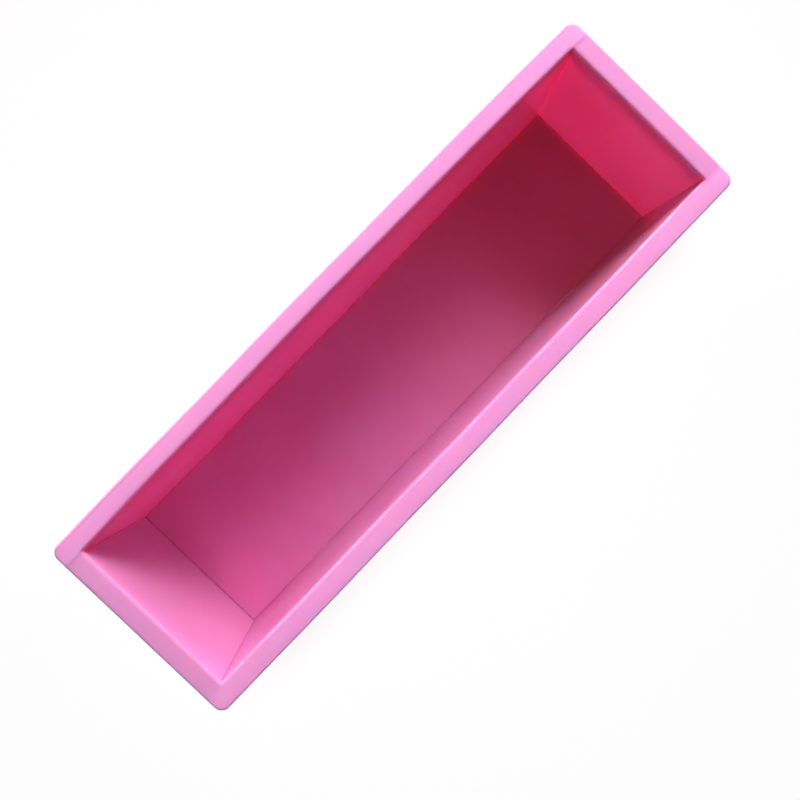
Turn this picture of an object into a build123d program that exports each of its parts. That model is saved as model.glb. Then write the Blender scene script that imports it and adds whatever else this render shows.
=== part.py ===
"""One-piece silicone soap loaf mould.

A straight-sided loaf cavity with an open mouth and a flat rim flange, moulded in one shot of soft
silicone. The floor, the four walls and the flange are one continuous piece of rubber.

Frame: millimetres, +Z up, +X along the loaf. The origin is the centre of the underside, so the
mould stands on the plane Z = 0 and its mouth faces +Z.
"""

from build123d import *
import math
import os

# Cavity: the size of the loaf that the mould casts, measured at the mouth
CAVITY_LENGTH = 280.0
CAVITY_WIDTH = 75.0
CAVITY_DEPTH = 65.0
CAVITY_DRAFT = 0.5  # how far each wall leans in between the mouth and the floor

# Thickness of the rubber
WALL = 3.0
FLOOR = 3.0
FLANGE = 3.2

# Width of the rim, measured outward from the cavity and the same all round
RIM_WIDTH = 9.3

# Corner radii, seen from above
CAVITY_CORNER = 0.8
WALL_CORNER = CAVITY_CORNER + WALL
FLANGE_CORNER = 4.0

# Edge radii
MOUTH_ROUND = 1.2  # flange top into the cavity
CREASE_ROUND = 0.6  # cavity walls into the cavity floor
FLANGE_TOP_ROUND = 1.0
FLANGE_BOTTOM_ROUND = 0.5
FLANGE_ROOT_ROUND = 1.5  # underside of the flange into the outer walls
BASE_ROUND = 2.2  # outer walls into the underside

HEIGHT = FLOOR + CAVITY_DEPTH
FLANGE_UNDERSIDE = HEIGHT - FLANGE
FLANGE_LENGTH = CAVITY_LENGTH + 2 * RIM_WIDTH
FLANGE_WIDTH = CAVITY_WIDTH + 2 * RIM_WIDTH

# The outer walls lean at the cavity's angle, so the rubber is equally thick from mouth to floor.
DRAFT_ANGLE = math.degrees(math.atan(CAVITY_DRAFT / CAVITY_DEPTH))
BASE_INSET = HEIGHT * CAVITY_DRAFT / CAVITY_DEPTH
BASE_LENGTH = CAVITY_LENGTH + 2 * (WALL - BASE_INSET)
BASE_WIDTH = CAVITY_WIDTH + 2 * (WALL - BASE_INSET)

with BuildPart() as mould_body:
    # Outer walls, solid for now, leaning outward as they rise from the underside
    with BuildSketch():
        RectangleRounded(BASE_LENGTH, BASE_WIDTH, WALL_CORNER - BASE_INSET)
    extrude(amount=FLANGE_UNDERSIDE, taper=-DRAFT_ANGLE)
    underside = mould_body.faces().filter_by(Axis.Z).sort_by(Axis.Z)[0]
    fillet(underside.edges(), BASE_ROUND)

    # Flange, with its seat face filleted into the walls below it
    with BuildSketch(Plane.XY.offset(FLANGE_UNDERSIDE)):
        RectangleRounded(FLANGE_LENGTH, FLANGE_WIDTH, FLANGE_CORNER)
    extrude(amount=FLANGE)
    seat = mould_body.faces().filter_by(Axis.Z).sort_by(Axis.Z)[1]
    fillet(seat.inner_wires().edges(), FLANGE_ROOT_ROUND)
    seat = mould_body.faces().filter_by(Axis.Z).sort_by(Axis.Z)[1]
    fillet(seat.outer_wire().edges(), FLANGE_BOTTOM_ROUND)
    top = mould_body.faces().filter_by(Axis.Z).sort_by(Axis.Z)[-1]
    fillet(top.outer_wire().edges(), FLANGE_TOP_ROUND)

    # Cavity, open at the mouth
    with BuildSketch(Plane.XY.offset(HEIGHT)):
        RectangleRounded(CAVITY_LENGTH, CAVITY_WIDTH, CAVITY_CORNER)
    extrude(amount=-CAVITY_DEPTH, taper=DRAFT_ANGLE, mode=Mode.SUBTRACT)
    cavity_floor = mould_body.faces().filter_by(Axis.Z).sort_by(Axis.Z)[1]
    fillet(cavity_floor.edges(), CREASE_ROUND)
    top = mould_body.faces().filter_by(Axis.Z).sort_by(Axis.Z)[-1]
    fillet(top.inner_wires().edges(), MOUTH_ROUND)

mould_body.part.label = "mould_body"

os.makedirs("parts", exist_ok=True)
export_step(mould_body.part, "parts/mould_body.step")
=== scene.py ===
"""Looks for a one-piece soap loaf mould in translucent pink silicone.

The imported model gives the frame. The mould's mesh is lofted here from one cross-section that is
carried round the cavity as rounded rectangles, so that each round, the parting line and the slight
waviness of soft rubber are real geometry. Lengths are metres, and MM turns millimetres into metres.
"""

import math

import bpy
from mathutils import Matrix, Vector, noise


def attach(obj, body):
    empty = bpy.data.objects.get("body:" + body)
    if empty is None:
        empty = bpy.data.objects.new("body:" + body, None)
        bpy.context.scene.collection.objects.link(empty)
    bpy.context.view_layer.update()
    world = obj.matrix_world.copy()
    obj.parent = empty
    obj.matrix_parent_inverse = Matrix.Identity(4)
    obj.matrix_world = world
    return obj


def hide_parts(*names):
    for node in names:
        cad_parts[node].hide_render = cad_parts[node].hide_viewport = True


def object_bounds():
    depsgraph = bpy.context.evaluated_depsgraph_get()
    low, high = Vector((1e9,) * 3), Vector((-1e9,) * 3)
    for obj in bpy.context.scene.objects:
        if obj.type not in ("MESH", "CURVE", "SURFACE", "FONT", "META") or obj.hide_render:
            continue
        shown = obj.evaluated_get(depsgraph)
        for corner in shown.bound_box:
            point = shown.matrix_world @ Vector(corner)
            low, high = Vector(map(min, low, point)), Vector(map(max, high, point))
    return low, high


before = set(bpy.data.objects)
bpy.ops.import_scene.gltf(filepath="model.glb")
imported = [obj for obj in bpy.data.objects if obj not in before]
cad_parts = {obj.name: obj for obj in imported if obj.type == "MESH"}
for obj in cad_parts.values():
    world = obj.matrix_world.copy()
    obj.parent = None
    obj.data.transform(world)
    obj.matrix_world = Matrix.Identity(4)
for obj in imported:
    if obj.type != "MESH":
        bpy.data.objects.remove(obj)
cad_low, cad_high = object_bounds()

MM = 0.001

# The mould, in millimetres. Its overall size comes from the frame.
HEIGHT = cad_high.z / MM
FLANGE_HALF_LENGTH = cad_high.x / MM
FLANGE_HALF_WIDTH = cad_high.y / MM
RIM_WIDTH = 9.3
FLANGE = 3.2
WALL = 3.0
FLOOR = 3.0
CAVITY_HALF_LENGTH = FLANGE_HALF_LENGTH - RIM_WIDTH
CAVITY_HALF_WIDTH = FLANGE_HALF_WIDTH - RIM_WIDTH
CAVITY_DEPTH = HEIGHT - FLOOR
CAVITY_DRAFT = 0.5

# Radii of the corners, seen from above, and of the edges
CAVITY_CORNER = 0.5
FLANGE_CORNER = 4.0
SHARPEST_CORNER = 0.15
MOUTH_ROUND = 1.2
CREASE_ROUND = 0.6
FLANGE_TOP_ROUND = 1.0
FLANGE_BOTTOM_ROUND = 0.5
FLANGE_ROOT_ROUND = 1.5
BASE_ROUND = 2.2

# A fine line round the flange's edge, such as the halves of a moulding tool leave
PARTING_LINE_HEIGHT = 0.06
PARTING_LINE_HALF_WIDTH = 0.12

# How soft rubber departs from its drawing
RIM_CROWN = 0.12  # how far the flange's top falls towards its outer edge
CROWN_POWER = 3  # and how late on the way out it falls
CROWN_END = 86  # the angle, in degrees, at which it runs into the outer round
LEFT_BOW = 1.65  # how far the rim of the long +Y side bulges outward
RIGHT_BOW = 0.13  # and that of the -Y side
RIM_STIFFNESS = 0.45  # how much less the outer edge of the rim bulges than the mouth does
WAVE = 0.22  # unevenness of the walls and the rim
WAVE_LENGTH = 55.0
LIFT_POWER = 1.5  # how strongly the bulge and the waves keep to the rim

# Across the mouth's round, the colour is painted paler, a painted sheen, from this distance outward, over
# this width, and on the +X and +Y sides, whose round faces away from the light, it starts further out, as
# painted shade
PALE_FROM = 0.3
PALE_WIDTH = 0.85
PALE_LAG = 0.75
PALE_TURN = 0.3  # half the width of that change, as a share of the mould's half length or width

# The flange's shorter scattering starts within this distance of the mouth
DENSE_WIDTH = 0.3

# Painted shade: the colour deepens along X between these places, where the lights alone leave it too pale
DEEP_SHADE_ON_FLOOR = (-40, 120)
DEEP_SHADE_ON_WALL = (30, 110)

# Mesh density
SIDE_STEPS = 110
END_STEPS = 32
HALF_CORNER_STEPS = 5
ARC_STEPS = 8
WALL_STEPS = 18
RIM_STEPS = 10
SUPPORT = 0.25  # distance from an arc of the loop that keeps the flat beside it flat


# ---------------------------------------------------------------------------------------------
# Mould: cross-section, rings and the closed mesh
# ---------------------------------------------------------------------------------------------


def arc(centre, radius, start, end):
    """Points of an arc in the (outward, up) plane, from one angle to another, in degrees."""
    points = []
    for step in range(ARC_STEPS + 1):
        angle = math.radians(start + (end - start) * step / ARC_STEPS)
        points.append((centre[0] + radius * math.cos(angle), centre[1] + radius * math.sin(angle)))
    return points


def between(start, end, steps):
    """Points strictly between two points, with a support point close to each."""
    length = math.dist(start, end)
    margin = min(0.3, SUPPORT / length)
    shares = [margin + (1 - 2 * margin) * step / steps for step in range(steps + 1)]
    return [tuple(a + (b - a) * share for a, b in zip(start, end)) for share in shares]


def cross_section():
    """(distance outward from the mouth, height), from the cavity floor over the rim to the underside."""
    seat = HEIGHT - FLANGE
    base_lean = CAVITY_DRAFT * HEIGHT / CAVITY_DEPTH
    edge = RIM_WIDTH - PARTING_LINE_HEIGHT

    crease = arc((-CAVITY_DRAFT - CREASE_ROUND, FLOOR + CREASE_ROUND), CREASE_ROUND, -90, 0)
    mouth = arc((MOUTH_ROUND, HEIGHT - MOUTH_ROUND), MOUTH_ROUND, 180, 90)
    top_round = arc(
        (edge - FLANGE_TOP_ROUND, HEIGHT - RIM_CROWN - FLANGE_TOP_ROUND), FLANGE_TOP_ROUND, CROWN_END, 0
    )
    bottom_round = arc(
        (edge - FLANGE_BOTTOM_ROUND, seat + FLANGE_BOTTOM_ROUND), FLANGE_BOTTOM_ROUND, 0, -90
    )
    root = arc((WALL + FLANGE_ROOT_ROUND, seat - FLANGE_ROOT_ROUND), FLANGE_ROOT_ROUND, 90, 180)
    base = arc((WALL - base_lean - BASE_ROUND, BASE_ROUND), BASE_ROUND, 0, -90)

    rim = []
    for outward, _ in between(mouth[-1], top_round[0], RIM_STEPS):
        share = (outward - mouth[-1][0]) / (top_round[0][0] - mouth[-1][0])
        rim.append((outward, HEIGHT + (top_round[0][1] - HEIGHT) * share ** CROWN_POWER))

    middle = (top_round[-1][1] + bottom_round[0][1]) / 2
    parting_line = [
        (edge, middle + PARTING_LINE_HALF_WIDTH),
        (edge + PARTING_LINE_HEIGHT, middle),
        (edge, middle - PARTING_LINE_HALF_WIDTH),
    ]
    inner_wall = between(crease[-1], mouth[0], WALL_STEPS)
    seat_face = between(bottom_round[-1], root[0], RIM_STEPS // 2)
    outer_wall = between(root[-1], base[0], WALL_STEPS)
    return (
        crease + inner_wall + mouth + rim + top_round + parting_line
        + bottom_round + seat_face + root + outer_wall + base
    )


def ring(half_length, half_width, radius, height):
    """A rounded rectangle as a closed ring of points.

    It runs from the +X side of the (+X, +Y) corner round to the left.
    """
    points = []
    signs = ((1, 1), (-1, 1), (-1, -1), (1, -1))
    steps = 2 * HALF_CORNER_STEPS
    for corner, (sign_x, sign_y) in enumerate(signs):
        centre = Vector((sign_x * (half_length - radius), sign_y * (half_width - radius), height))
        for step in range(steps + 1):
            angle = math.radians(90 * (corner + step / steps))
            points.append(centre + radius * Vector((math.cos(angle), math.sin(angle), 0)))
        next_x, next_y = signs[(corner + 1) % 4]
        turn = math.radians(90 * (corner + 1))
        next_centre = Vector((next_x * (half_length - radius), next_y * (half_width - radius), height))
        after = next_centre + radius * Vector((math.cos(turn), math.sin(turn), 0))
        count = (SIDE_STEPS if corner % 2 == 0 else END_STEPS) - 2
        points += [Vector(p) for p in between(tuple(points[-1]), tuple(after), count)]
    return points


def corner_radius(outward):
    """The corner's radius at a distance outward from the mouth.

    Corners run parallel from the cavity to the outer walls, and the flange keeps nearly the same radius.
    """
    wall_corner = CAVITY_CORNER + WALL
    if outward < WALL:
        return max(SHARPEST_CORNER, CAVITY_CORNER + outward)
    share = (outward - WALL) / (RIM_WIDTH - WALL)
    return wall_corner + (FLANGE_CORNER - wall_corner) * share


def soften(point):
    """Moves a point of the drawing, in millimetres, to where soft rubber holds it.

    The base stays still, and the rim moves most.
    """
    lift = min(1.0, max(0.0, point.z / HEIGHT))
    along = 1 - (point.x / FLANGE_HALF_LENGTH) ** 2
    across = max(-1.0, min(1.0, point.y / CAVITY_HALF_WIDTH))
    side_bow = LEFT_BOW if across > 0 else RIGHT_BOW
    place = point / WAVE_LENGTH
    wave = Vector((
        noise.noise(place + Vector((3.1, 0, 0))),
        noise.noise(place + Vector((0, 7.7, 0))),
        noise.noise(place + Vector((0, 0, 5.3))),
    ))
    past_mouth = max(0.0, abs(point.y) - CAVITY_HALF_WIDTH) / RIM_WIDTH
    bow = Vector((0, side_bow * along * across * (1 - RIM_STIFFNESS * past_mouth), 0))
    return point + (bow + WAVE * wave) * lift ** LIFT_POWER


def fill(first, faces, vertices, up):
    """Closes the ring that starts at vertex `first` with a grid of quads (a Coons patch)."""
    columns = SIDE_STEPS + 2 * HALF_CORNER_STEPS
    rows = END_STEPS + 2 * HALF_CORNER_STEPS
    count = 2 * (columns + rows)

    def on_ring(step):
        return first + (step + HALF_CORNER_STEPS) % count

    index = {}
    for column in range(columns + 1):
        index[column, 0] = on_ring(column)
        index[column, rows] = on_ring(2 * columns + rows - column)
    for row in range(rows + 1):
        index[columns, row] = on_ring(columns + row)
        index[0, row] = on_ring(2 * columns + 2 * rows - row)

    def at(column, row):
        return vertices[index[column, row]]

    for column in range(1, columns):
        for row in range(1, rows):
            u, v = column / columns, row / rows
            sides = (
                at(column, 0) * (1 - v) + at(column, rows) * v
                + at(0, row) * (1 - u) + at(columns, row) * u
            )
            corners = (
                at(0, 0) * (1 - u) * (1 - v) + at(columns, 0) * u * (1 - v)
                + at(0, rows) * (1 - u) * v + at(columns, rows) * u * v
            )
            index[column, row] = len(vertices)
            vertices.append(sides - corners)
    for column in range(columns):
        for row in range(rows):
            quad = [
                index[column, row], index[column, row + 1],
                index[column + 1, row + 1], index[column + 1, row],
            ]
            faces.append(quad if up else quad[::-1])


def smooth(value, low, high):
    """0 below `low`, 1 above `high` and a smooth rise between."""
    share = min(1.0, max(0.0, (value - low) / (high - low)))
    return share * share * (3 - 2 * share)


def above_seat(height):
    """0 below the flange, 1 in it."""
    return smooth(height, HEIGHT - FLANGE, HEIGHT - FLANGE + FLANGE_BOTTOM_ROUND)


def rim_sheen_and_satin_at(outward, height, point):
    """How much a point has the rim's satin finish and its paler colour, a painted sheen."""
    towards_far_left = point.x / CAVITY_HALF_LENGTH + point.y / CAVITY_HALF_WIDTH
    start = PALE_FROM + PALE_LAG * smooth(towards_far_left, -PALE_TURN, PALE_TURN)
    past_mouth = min(1.0, max(0.0, (outward - start) / PALE_WIDTH))
    return past_mouth * above_seat(height)


def dense_at(outward, height):
    """1 in the flange, where light is made to scatter less far, so that the mouth's edge stays crisp."""
    return smooth(outward, 0.0, DENSE_WIDTH) * above_seat(height)


def outside_at(outward, height):
    """How much a point has the satin finish of the outer walls, the flange's underside and the base."""
    past_cavity = outward > MOUTH_ROUND or height < FLOOR / 2
    return past_cavity * (1 - above_seat(height))


def deep_shade_at(outward, height, point):
    """How much painted shade deepens the colour, on the cavity's floor and its -Y wall towards the +X end.
    """
    if outward > 0 or height < FLOOR:
        return 0.0
    if height <= FLOOR + CREASE_ROUND / 2:
        return smooth(point.x, *DEEP_SHADE_ON_FLOOR)
    on_right_wall = point.y < 0 and point.x < CAVITY_HALF_LENGTH - 2 * CAVITY_DRAFT
    return smooth(point.x, *DEEP_SHADE_ON_WALL) if on_right_wall else 0.0


def crease_shade_at(outward, height, step, ring_size):
    """1 in the cavity's lower crease and in its upright corners, which get painted shade."""
    if outward > 0 or height < FLOOR:
        return 0.0
    if height <= FLOOR + CREASE_ROUND:
        return 1.0
    corner_points = 2 * HALF_CORNER_STEPS + 1
    half = ring_size // 2
    place = step % half
    first_side = corner_points + SIDE_STEPS - 1
    in_corner = place < corner_points or first_side <= place < first_side + corner_points
    return 1.0 if in_corner else 0.0


def mould_mesh():
    """The closed mesh, with each point's finish, painted shade and painted sheen in attributes that the
    material reads.
    """
    vertices, faces = [], []
    finish_and_painted_light = {"rim": [], "dense": [], "outside": [], "crease": [], "deep_shade": []}
    ring_starts = []
    for outward, height in cross_section():
        ring_starts.append(len(vertices))
        half_length, half_width = CAVITY_HALF_LENGTH + outward, CAVITY_HALF_WIDTH + outward
        points = ring(half_length, half_width, corner_radius(outward), height)
        vertices += points
        finish_and_painted_light["rim"] += [rim_sheen_and_satin_at(outward, height, point) for point in points]
        finish_and_painted_light["dense"] += [dense_at(outward, height)] * len(points)
        finish_and_painted_light["outside"] += [outside_at(outward, height)] * len(points)
        finish_and_painted_light["deep_shade"] += [deep_shade_at(outward, height, point) for point in points]
        finish_and_painted_light["crease"] += [crease_shade_at(outward, height, step, len(points)) for step in range(len(points))]
    count = ring_starts[1] - ring_starts[0]
    for lower, upper in zip(ring_starts, ring_starts[1:]):
        for step in range(count):
            after = (step + 1) % count
            faces.append((lower + step, upper + step, upper + after, lower + after))
    on_walls = len(vertices)
    fill(ring_starts[0], faces, vertices, up=True)
    on_floor = len(vertices) - on_walls
    fill(ring_starts[-1], faces, vertices, up=False)
    under = len(vertices) - on_walls - on_floor
    for name in ("rim", "dense", "crease"):
        finish_and_painted_light[name] += [0.0] * (on_floor + under)
    finish_and_painted_light["outside"] += [0.0] * on_floor + [1.0] * under
    floor_points = vertices[on_walls:on_walls + on_floor]
    finish_and_painted_light["deep_shade"] += [deep_shade_at(-CAVITY_DRAFT, FLOOR, point) for point in floor_points]
    finish_and_painted_light["deep_shade"] += [0.0] * under

    mesh = bpy.data.meshes.new("mould_body_visual")
    mesh.from_pydata([soften(v) * MM for v in vertices], [], faces)
    mesh.polygons.foreach_set("use_smooth", [True] * len(mesh.polygons))
    for name, values in finish_and_painted_light.items():
        mesh.attributes.new(name, "FLOAT", "POINT").data.foreach_set("value", values)
    return mesh


# ---------------------------------------------------------------------------------------------
# Silicone
# ---------------------------------------------------------------------------------------------

# Colours. The body and the rim are mottled between two each. The crease and deep colours are painted
# shade, and the rim colour a painted sheen, standing for shade and light that the lights below don't give.
BODY_COLOUR = (0.975, 0.31, 0.65, 1)
BODY_MOTTLE = (0.97, 0.285, 0.62, 1)
CREASE_SHADE_COLOUR = (0.34, 0.06, 0.17, 1)
RIM_SHEEN_COLOUR = (0.94, 0.397, 0.79, 1)
RIM_SHEEN_MOTTLE = (0.93, 0.385, 0.77, 1)
DEEP_SHADE_COLOUR = (0.968, 0.262, 0.49, 1)
DUST_COLOUR = (0.34, 0.12, 0.17, 1)

# How far light scatters inside, and what share of that for red, green and blue
BODY_SCATTER = 9.5 * MM
RIM_SCATTER = 2.2 * MM
SCATTER_RADIUS = (1.0, 0.63, 0.43)
SILICONE_IOR = 1.41

# Roughness of the faces, and what smudges and grain add to it
CAVITY_ROUGHNESS = 0.05
RIM_ROUGHNESS = 0.36
OUTSIDE_ROUGHNESS = 0.42
SMUDGE_ROUGHNESS = 0.05
GRAIN_ROUGHNESS = 0.03
GRAIN_HEIGHT = 0.012 * MM
RIPPLE_HEIGHT = 0.05 * MM

# Noise patterns: features per metre, and the span of the noise that is used
MOTTLE_SCALE = 38.0
MOTTLE_DETAIL = 5.0
MOTTLE_SPAN = (0.35, 0.65)
CREASE_SCALE = 300.0
CREASE_SPAN = (0.3, 0.7)
CREASE_SHARE = (0.25, 0.5)  # the least and the most of the crease colour
SMUDGE_SCALE = 22.0
SMUDGE_DETAIL = 3.0
SMUDGE_SPAN = (0.5, 0.72)
GRAIN_SCALE = 1400.0
RIPPLE_SCALE = 30.0

# Dust: cells per metre, the share of cells without a speck, the specks' least and greatest radius in
# cells, their strength, and how level a face must be to hold them
DUST_SCALE = 75.0
DUST_FREE = 0.62
DUST_RADII = (0.008, 0.030)
DUST_STRENGTH = 0.55
LEVEL = 0.9


class Nodes:
    """Short ways to add and join shader nodes."""

    def __init__(self, material):
        material.use_nodes = True
        self.tree = material.node_tree
        self.shader = self.tree.nodes["Principled BSDF"]

    def join(self, value, socket):
        if isinstance(value, bpy.types.NodeSocket):
            self.tree.links.new(value, socket)
        else:
            socket.default_value = value

    def add(self, kind, output, **inputs):
        node = self.tree.nodes.new(kind)
        for name, value in inputs.items():
            self.join(value, node.inputs[name.replace("_", " ")])
        return node.outputs[output]

    def attribute(self, name):
        node = self.tree.nodes.new("ShaderNodeAttribute")
        node.attribute_name = name
        return node.outputs["Fac"]

    def mix(self, share, a, b, colour=False):
        node = self.tree.nodes.new("ShaderNodeMix")
        node.data_type = "RGBA" if colour else "FLOAT"
        sockets = [s for s in node.inputs if s.enabled]
        for socket, value in zip(sockets, (share, a, b)):
            self.join(value, socket)
        return next(s for s in node.outputs if s.enabled)

    def maths(self, operation, *values):
        node = self.tree.nodes.new("ShaderNodeMath")
        node.operation = operation
        for socket, value in zip(node.inputs, values):
            self.join(value, socket)
        return node.outputs["Value"]

    def remap(self, value, low, high, to_low=0.0, to_high=1.0):
        node = self.tree.nodes.new("ShaderNodeMapRange")
        node.interpolation_type = "SMOOTHSTEP"
        for socket, number in zip(node.inputs, (value, low, high, to_low, to_high)):
            self.join(number, socket)
        return node.outputs["Result"]

    def noise(self, place, scale, detail=2.0):
        return self.add("ShaderNodeTexNoise", "Fac", Vector=place, Scale=scale, Detail=detail)


def dust(nodes, place, facing_up):
    """Sparse specks, less than a millimetre across, on the faces that look up."""
    cells = nodes.tree.nodes.new("ShaderNodeTexVoronoi")
    nodes.join(place, cells.inputs["Vector"])
    cells.inputs["Scale"].default_value = DUST_SCALE
    chance = nodes.add("ShaderNodeSeparateColor", "Red", Color=cells.outputs["Color"])
    here = nodes.maths("GREATER_THAN", chance, DUST_FREE)
    size = nodes.remap(chance, DUST_FREE, 1.0, *DUST_RADII)
    near = nodes.maths("LESS_THAN", cells.outputs["Distance"], size)
    return nodes.maths("MULTIPLY", nodes.maths("MULTIPLY", here, near), facing_up)


def silicone():
    """Translucent rubber: polished in the cavity, satin on the rim and the outer walls."""
    material = bpy.data.materials.new("pink_silicone")
    nodes = Nodes(material)
    shader = nodes.shader
    shader.subsurface_method = "RANDOM_WALK"
    place = nodes.add("ShaderNodeTexCoord", "Object")
    normal = nodes.tree.nodes.new("ShaderNodeNewGeometry").outputs["Normal"]
    upward = nodes.add("ShaderNodeSeparateXYZ", "Z", Vector=normal)
    facing_up = nodes.maths("GREATER_THAN", upward, LEVEL)
    rim = nodes.attribute("rim")
    outside = nodes.attribute("outside")

    # Colour: slightly uneven pigment, with painted shade deeper towards the +X end and darker in the
    # creases
    mottle = nodes.remap(nodes.noise(place, MOTTLE_SCALE, MOTTLE_DETAIL), *MOTTLE_SPAN)
    body = nodes.mix(mottle, BODY_COLOUR, BODY_MOTTLE, colour=True)
    body = nodes.mix(nodes.attribute("deep_shade"), body, DEEP_SHADE_COLOUR, colour=True)
    uneven = nodes.remap(nodes.noise(place, CREASE_SCALE), *CREASE_SPAN, *CREASE_SHARE)
    crease_shade = nodes.maths("MULTIPLY", nodes.attribute("crease"), uneven)
    body = nodes.mix(crease_shade, body, CREASE_SHADE_COLOUR, colour=True)
    # The rim's paler colour is a painted sheen
    painted_rim_sheen = nodes.mix(mottle, RIM_SHEEN_COLOUR, RIM_SHEEN_MOTTLE, colour=True)
    colour = nodes.mix(rim, body, painted_rim_sheen, colour=True)
    speck = nodes.maths("MULTIPLY", dust(nodes, place, facing_up), DUST_STRENGTH)
    nodes.join(nodes.mix(speck, colour, DUST_COLOUR, colour=True), shader.inputs["Base Color"])

    # Scattering: far in the walls and the floor, less far in the flange
    nodes.join(1.0, shader.inputs["Subsurface Weight"])
    nodes.join(SCATTER_RADIUS, shader.inputs["Subsurface Radius"])
    scatter = nodes.mix(nodes.attribute("dense"), BODY_SCATTER, RIM_SCATTER)
    nodes.join(scatter, shader.inputs["Subsurface Scale"])
    nodes.join(SILICONE_IOR, shader.inputs["IOR"])

    # Sheen: finger smudges and the tool's finish
    patches = nodes.noise(place, SMUDGE_SCALE, SMUDGE_DETAIL)
    smudge = nodes.remap(patches, *SMUDGE_SPAN, 0.0, SMUDGE_ROUGHNESS)
    satin = nodes.mix(outside, CAVITY_ROUGHNESS, OUTSIDE_ROUGHNESS)
    satin = nodes.mix(rim, satin, RIM_ROUGHNESS)
    grain = nodes.noise(place, GRAIN_SCALE)
    fine = nodes.remap(grain, 0.0, 1.0, -GRAIN_ROUGHNESS, GRAIN_ROUGHNESS)
    rough = nodes.maths("ADD", nodes.maths("ADD", satin, smudge), nodes.maths("MULTIPLY", fine, rim))
    nodes.join(rough, shader.inputs["Roughness"])

    # Relief: fine grain on the satin faces, long ripples everywhere
    satin_share = nodes.maths("MAXIMUM", rim, outside)
    relief = nodes.maths("MULTIPLY", grain, nodes.maths("MULTIPLY", satin_share, GRAIN_HEIGHT))
    ripple = nodes.maths("MULTIPLY", nodes.noise(place, RIPPLE_SCALE), RIPPLE_HEIGHT)
    height_sum = nodes.maths("ADD", relief, ripple)
    bump = nodes.add("ShaderNodeBump", "Normal", Height=height_sum, Strength=1.0, Distance=1.0)
    nodes.join(bump, shader.inputs["Normal"])
    return material


mould = bpy.data.objects.new("mould_body_silicone", mould_mesh())
bpy.context.scene.collection.objects.link(mould)
mould.data.materials.append(silicone())
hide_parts("mould_body")
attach(mould, "root")


# ---------------------------------------------------------------------------------------------
# Stage, light and camera
# ---------------------------------------------------------------------------------------------

# The daylight, the windows, FLOOR_BOUNCE and ROOM_LIGHT are rounded and grouped from a least-squares fit.
# Each window: (name, azimuth and elevation in degrees, distance, width and height in metres, irradiance)
DAYLIGHT = (1.0, 0.97, 0.91)
WINDOWS = (
    ("window_high", 33, 27, 1.8, 0.95, 0.60, 1.05),
    ("window_middle", 42, 14, 1.8, 0.70, 0.36, 0.26),
    ("window_low", 52, 4, 1.8, 0.90, 0.30, 0.78),
    ("side_left", 112, 28, 1.8, 0.8, 0.8, 0.10),
    ("side_right", -2, 34, 1.8, 0.7, 0.7, 0.08),
)
# The same for lights that only make highlights. They are meant for the mouth's round edge, but other faces
# reflect them too when seen from the side.
GLINTS = (
    ("glint_left", 92, 36, 1.8, 2.2, 1.5, 2.6),
)
# (name, side of the mould, how far its rim bulges, start and end of the light outward from the mouth,
# radiance of white below it)
RIM_STRIPS = (
    ("strip_left", (0, 1), LEFT_BOW, 0.8, 8.0, 0.34),
    ("strip_right", (0, -1), RIGHT_BOW, 0.6, 10.4, 0.39),
    ("strip_far", (1, 0), 0.0, 0.15, 7.8, 0.22),
    ("strip_near", (-1, 0), 0.0, 0.6, 10.4, 0.27),
)
STRIP_HEIGHT = 40.0  # above the rim, in millimetres
STRIP_SPREAD = 3.0  # in degrees
# The same as a window, over the floor
SOFTBOX = ("overhead_softbox", 0, 90, 1.5, 1.0, 1.0, 0.5)

# The floor: its half size and its gap below the mould in metres, its paper, and its glow to the camera and
# to everything else
FLOOR_HALF_SIZE = 3.0
FLOOR_GAP = 0.05 * MM
PAPER_COLOUR = (0.9, 0.9, 0.9, 1)
FLOOR_GLOW = 0.62
FLOOR_BOUNCE = 0.33
# The room's even light, and what the camera sees behind the floor
ROOM_LIGHT = 0.015
BACKDROP = 1.0

# The camera looks nearly straight down. Its place is in millimetres from the middle of the rim, and its
# angles are in degrees.
CAMERA_LENS = 30.15
CAMERA_SENSOR = 36.0
CAMERA_SHIFT = (-0.01575, -0.03738)
CAMERA_NEAREST = 0.01
CAMERA_PLACE = (-5.80, -0.38, 268.16)
CAMERA_HEADING = 46.0
CAMERA_TILT = 1.996
CAMERA_TILT_AXIS = (0.315, -1.970, 0.049)


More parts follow.
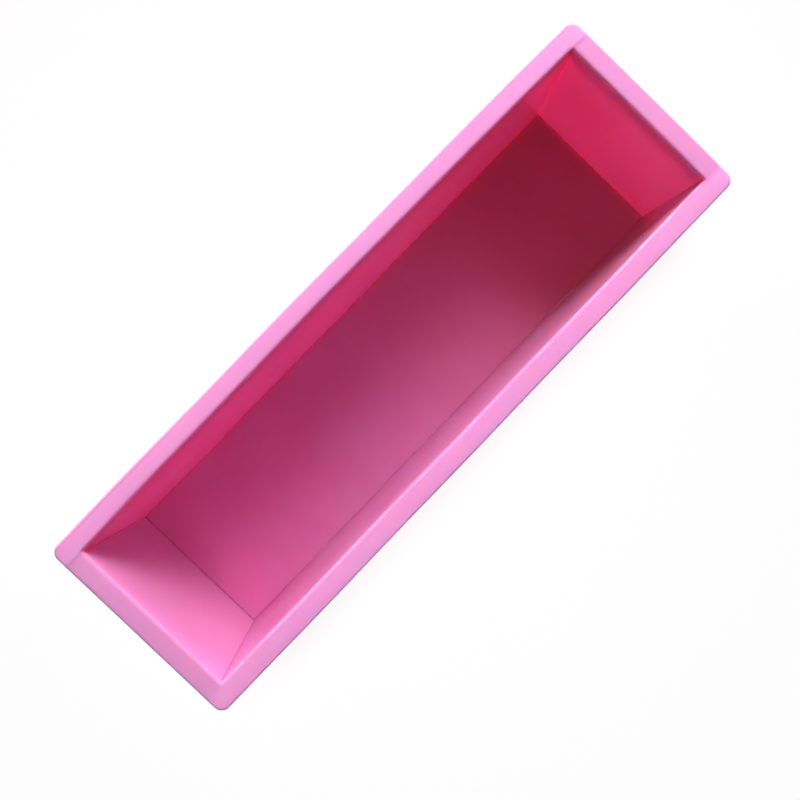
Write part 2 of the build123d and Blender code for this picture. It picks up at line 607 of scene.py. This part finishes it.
def studio_floor():
    """Pale floor. It glows a little, so that the mould's shadow on it stays faint.

    Only the camera sees it so. To everything else it is an even bounce light.
    """
    mesh = bpy.data.meshes.new("studio_floor")
    half, below = FLOOR_HALF_SIZE, -FLOOR_GAP
    corners = [(-half, -half, below), (half, -half, below), (half, half, below), (-half, half, below)]
    mesh.from_pydata(corners, [], [(0, 1, 2, 3)])
    floor = bpy.data.objects.new("studio_floor", mesh)
    bpy.context.scene.collection.objects.link(floor)

    material = bpy.data.materials.new("pale_floor")
    material.use_nodes = True
    nodes, links = material.node_tree.nodes, material.node_tree.links
    nodes.clear()
    output = nodes.new("ShaderNodeOutputMaterial")
    paper = nodes.new("ShaderNodeBsdfDiffuse")
    paper.inputs["Color"].default_value = PAPER_COLOUR
    glow = nodes.new("ShaderNodeEmission")
    glow.inputs["Strength"].default_value = FLOOR_GLOW
    seen = nodes.new("ShaderNodeAddShader")
    links.new(paper.outputs["BSDF"], seen.inputs[0])
    links.new(glow.outputs["Emission"], seen.inputs[1])
    bounce = nodes.new("ShaderNodeEmission")
    bounce.inputs["Color"].default_value = (*DAYLIGHT, 1)
    bounce.inputs["Strength"].default_value = FLOOR_BOUNCE
    path = nodes.new("ShaderNodeLightPath")
    choose = nodes.new("ShaderNodeMixShader")
    links.new(path.outputs["Is Camera Ray"], choose.inputs["Fac"])
    links.new(bounce.outputs["Emission"], choose.inputs[1])
    links.new(seen.outputs["Shader"], choose.inputs[2])
    links.new(choose.outputs["Shader"], output.inputs["Surface"])
    # Its glow is large and even, so it needs no light samples of its own
    material.cycles.emission_sampling = "NONE"
    floor.data.materials.append(material)
    return floor


def light_only(light, target):
    """Keeps a light to one object."""
    receivers = bpy.data.collections.new(light.name + "_receivers")
    receivers.objects.link(target)
    light.light_linking.receiver_collection = receivers


def area_light(
    name, azimuth, elevation, distance, width, height, irradiance, target, colour=(1, 1, 1)
):
    """A rectangular light aimed at the mould, which lights only the target.

    irradiance is in multiples of what makes a white sheet that faces the light white.
    """
    data = bpy.data.lights.new(name, "AREA")
    data.shape = "RECTANGLE"
    data.size = width
    data.size_y = height
    data.color = colour
    data.energy = irradiance * math.pi ** 2 * distance ** 2
    light = bpy.data.objects.new(name, data)
    a, e = math.radians(azimuth), math.radians(elevation)
    towards = Vector((math.cos(a) * math.cos(e), math.sin(a) * math.cos(e), math.sin(e)))
    light.location = towards * distance + Vector((0, 0, HEIGHT * MM))
    light.rotation_mode = "QUATERNION"
    light.rotation_quaternion = towards.to_track_quat("Z", "Y")
    light.visible_camera = False
    bpy.context.scene.collection.objects.link(light)
    light_only(light, target)
    return light


def strip_light(name, start, end, width, radiance, target):
    """A narrow, nearly parallel beam straight down onto the line from `start` to `end`, in millimetres."""
    middle, along = (start + end) / 2, end - start
    data = bpy.data.lights.new(name, "AREA")
    data.shape = "RECTANGLE"
    data.size = along.length * MM
    data.size_y = width * MM
    data.spread = math.radians(STRIP_SPREAD)
    data.energy = radiance * math.pi * data.size * data.size_y
    light = bpy.data.objects.new(name, data)
    light.location = Vector((middle.x, middle.y, HEIGHT + STRIP_HEIGHT)) * MM
    light.rotation_euler = (0, 0, math.atan2(along.y, along.x))
    light.visible_camera = False
    light.visible_glossy = False
    bpy.context.scene.collection.objects.link(light)
    light_only(light, target)


def rim_lights(target):
    """Strips that follow the flange, two to a side, and hardly light the cavity."""
    for name, side, bow, start, end, radiance in RIM_STRIPS:
        outward = Vector(side)
        sideways = Vector((-side[1], side[0]))
        if side[0] == 0:
            to_mouth, half_length = CAVITY_HALF_WIDTH, CAVITY_HALF_LENGTH + RIM_WIDTH
        else:
            to_mouth, half_length = CAVITY_HALF_LENGTH, CAVITY_HALF_WIDTH
        middle = outward * (to_mouth + bow + (start + end) / 2)
        for half, sign in (("_a", 1), ("_b", -1)):
            tip = sideways * sign * half_length + outward * (to_mouth + (start + end) / 2)
            strip_light(name + half, middle, tip, end - start, radiance, target)


def ambient():
    """A dim, even room, which the camera sees as a white backdrop."""
    world = bpy.data.worlds.new("ambient")
    world.use_nodes = True
    nodes, links = world.node_tree.nodes, world.node_tree.links
    nodes.clear()
    output = nodes.new("ShaderNodeOutputWorld")
    room = nodes.new("ShaderNodeBackground")
    room.inputs["Strength"].default_value = ROOM_LIGHT
    backdrop = nodes.new("ShaderNodeBackground")
    backdrop.inputs["Strength"].default_value = BACKDROP
    path = nodes.new("ShaderNodeLightPath")
    choose = nodes.new("ShaderNodeMixShader")
    for socket in (room.inputs["Color"], backdrop.inputs["Color"]):
        socket.default_value = (1, 1, 1, 1)
    links.new(path.outputs["Is Camera Ray"], choose.inputs["Fac"])
    links.new(room.outputs["Background"], choose.inputs[1])
    links.new(backdrop.outputs["Background"], choose.inputs[2])
    links.new(choose.outputs["Shader"], output.inputs["Surface"])
    world.cycles.sampling_method = "NONE"
    bpy.context.scene.world = world


def camera():
    """A lens over the mould, with the mould's +X end towards the picture's upper right."""
    data = bpy.data.cameras.new("camera")
    data.sensor_width = CAMERA_SENSOR
    data.lens = CAMERA_LENS
    data.shift_x, data.shift_y = CAMERA_SHIFT
    data.clip_start = CAMERA_NEAREST
    eye = bpy.data.objects.new("camera", data)
    heading = math.radians(CAMERA_HEADING)
    right = Vector((math.cos(heading), -math.sin(heading), 0))
    up = Vector((math.sin(heading), math.cos(heading), 0))
    back = Vector((0, 0, 1))
    level = Matrix((right, up, back)).transposed()
    tilt = Matrix.Rotation(math.radians(CAMERA_TILT), 3, Vector(CAMERA_TILT_AXIS))
    x, y, above_rim = CAMERA_PLACE
    place = Matrix.Translation(Vector((x, y, HEIGHT + above_rim)) * MM)
    eye.matrix_world = place @ (level @ tilt).to_4x4()
    bpy.context.scene.collection.objects.link(eye)
    bpy.context.scene.camera = eye


floor = studio_floor()
for window in WINDOWS:
    area_light(*window, mould, DAYLIGHT)
area_light(*SOFTBOX, floor)
rim_lights(mould)
for glint in GLINTS:
    area_light(*glint, mould).visible_diffuse = False
ambient()
camera()
bpy.context.scene.view_settings.view_transform = "Standard"
